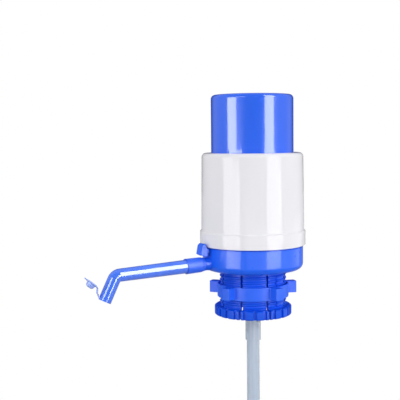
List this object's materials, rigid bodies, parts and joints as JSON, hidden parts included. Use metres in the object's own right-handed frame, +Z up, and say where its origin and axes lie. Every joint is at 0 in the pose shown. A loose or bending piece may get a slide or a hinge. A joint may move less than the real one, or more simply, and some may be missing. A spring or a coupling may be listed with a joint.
{
  "type": "bottle water pump",
  "caption": "Hand-press drinking-water pump: a sprung cap over a barrel, a bent side spout, and a slotted collet with a lobed ring that clamps a bottle neck.",
  "frame": {"origin": "on the pump's axis, at the plane where the mouth seal rests on the bottle's rim", "axes": "+Z up along the pump's axis through the press cap; the spout runs towards -X"},
  "size_m": [0.2242, 0.1028, 0.613],
  "materials": {
    "cap_blue": "glossy moulded ABS",
    "shell_white": "glossy moulded ABS",
    "base_blue": "glossy moulded ABS",
    "collet_blue": "moulded polypropylene",
    "ring_blue": "moulded polypropylene",
    "spout_blue": "glossy moulded plastic",
    "sleeve_blue": "glossy moulded plastic",
    "cap_pale": "soft flexible moulding",
    "natural_plastic": "natural polypropylene",
    "clear_tube": "milky clear plastic tube",
    "seal_rubber": "soft seal rubber",
    "steel": "spring and screw steel"
  },
  "bodies": {
    "pump_body": {"base_housing": "base_blue", "pump_barrel": "natural_plastic", "barrel_seal": "seal_rubber", "cover_shell": "shell_white", "barrel_screw_1": "steel", "barrel_screw_2": "steel", "barrel_screw_3": "steel", "barrel_screw_4": "steel", "neck_collet": "collet_blue", "collet_screw_1": "steel", "collet_screw_2": "steel", "collet_screw_3": "steel", "collet_screw_4": "steel", "mouth_seal": "seal_rubber", "valve_cage": "natural_plastic", "valve_spring": "steel", "spring_guide": "natural_plastic", "return_spring": "steel", "spout_ring_seal": "seal_rubber", "lever_pin": "steel", "lever_spring": "steel", "tube_adapter": "clear_tube", "dip_tube_upper": "clear_tube", "tube_coupling_upper": "clear_tube", "dip_tube_middle": "clear_tube", "tube_coupling_lower": "clear_tube", "dip_tube_lower": "clear_tube"},
    "press_cap": {"press_cap": "cap_blue", "piston_ring": "natural_plastic", "piston_seal": "seal_rubber", "piston_retainer": "natural_plastic"},
    "valve_disc": {"valve_disc": "seal_rubber"},
    "release_lever": {"release_lever": "base_blue", "vent_plug": "seal_rubber"},
    "locking_ring": {"locking_ring": "ring_blue"},
    "spout": {"spout_sleeve": "sleeve_blue", "spout_tube": "spout_blue"},
    "spout_cap": {"spout_cap": "cap_pale"}
  },
  "joints": [
    {"name": "press_stroke", "type": "slide", "parent": "pump_body", "child": "press_cap", "axis": [0, 0, -1], "range_m": [0, 0.05], "stiffness_N_per_m": 600, "springref_m": -0.02, "deforming": ["return_spring"]},
    {"name": "valve_lift", "type": "slide", "parent": "pump_body", "child": "valve_disc", "axis": [0, 0, -1], "range_m": [0, 0.002], "stiffness_N_per_m": 60, "springref_m": -0.002, "deforming": ["valve_spring"]},
    {"name": "lever_lift", "type": "hinge", "parent": "pump_body", "child": "release_lever", "pos_m": [-0.0514, 0, 0.0244], "axis": [0, 1, 0], "range_deg": [0, 10], "stiffness_Nm_per_rad": 0.02, "springref_deg": -17.19},
    {"name": "ring_turn", "type": "hinge", "parent": "pump_body", "child": "locking_ring", "pos_m": [0, 0, -0.01635], "axis": [0, 0, 1], "range_deg": [-720, 1080]},
    {"name": "spout_swivel", "type": "hinge", "parent": "pump_body", "child": "spout", "pos_m": [-0.049, 0, 0.0121], "axis": [-0.9992, 0, -0.0401], "range_deg": [-180, 180]},
    {"name": "spout_cap_hinge", "type": "hinge", "parent": "spout", "child": "spout_cap", "pos_m": [-0.16152, 0, -0.00662], "axis": [0, -1, 0], "range_deg": [0, 193.1]}
  ]
}
